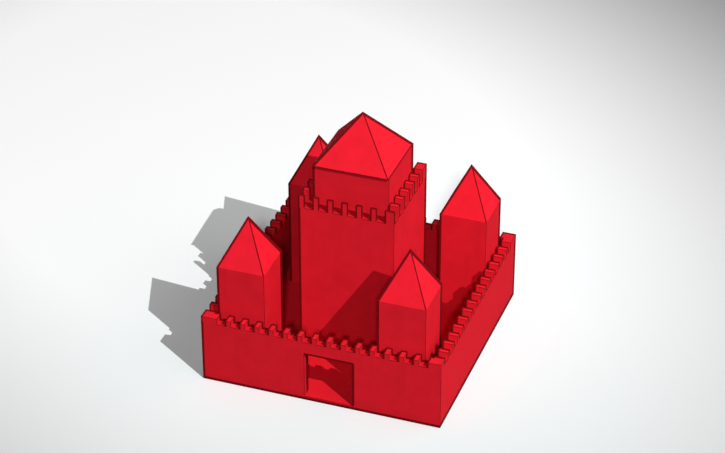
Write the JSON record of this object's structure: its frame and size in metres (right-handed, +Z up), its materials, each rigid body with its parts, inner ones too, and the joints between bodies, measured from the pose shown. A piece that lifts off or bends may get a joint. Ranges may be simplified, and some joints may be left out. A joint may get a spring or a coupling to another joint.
{
  "type": "castle keep with curtain wall and corner towers",
  "caption": "Square walled castle: crenellated curtain wall with a gateway, corner towers with pyramid roofs, and a tall keep with a parapet, an upper storey and a pyramid roof.",
  "frame": {"origin": "centre of the square of ground that the castle covers, on the ground", "axes": "+Z up, -Y out of the front wall through the gateway, +X to the right as seen from the front"},
  "size_m": [20, 20, 21.2],
  "materials": {
    "wall_render": "matt red limewashed render",
    "roof_render": "matt red limewashed render",
    "floor_render": "matt red floor render"
  },
  "bodies": {
    "root": {"back_left_tower_roof": "roof_render", "back_left_tower_shaft": "wall_render", "back_merlons": "wall_render", "back_right_tower_roof": "roof_render", "back_right_tower_shaft": "wall_render", "back_wall": "wall_render", "corner_merlons": "wall_render", "courtyard_floor": "floor_render", "front_left_tower_roof": "roof_render", "front_left_tower_shaft": "wall_render", "front_merlons": "wall_render", "front_right_tower_roof": "roof_render", "front_right_tower_shaft": "wall_render", "front_wall_left": "wall_render", "front_wall_over_gate": "wall_render", "front_wall_right": "wall_render", "gate_threshold": "floor_render", "keep_back_merlons": "wall_render", "keep_back_wall": "wall_render", "keep_corner_merlons": "wall_render", "keep_front_merlons": "wall_render", "keep_front_wall": "wall_render", "keep_left_merlons": "wall_render", "keep_left_wall": "wall_render", "keep_right_merlons": "wall_render", "keep_right_wall": "wall_render", "keep_roof": "roof_render", "left_merlons": "wall_render", "left_wall": "wall_render", "right_merlons": "wall_render", "right_wall": "wall_render", "upper_back_wall": "wall_render", "upper_front_wall": "wall_render", "upper_left_wall": "wall_render", "upper_right_wall": "wall_render"}
  },
  "joints": []
}
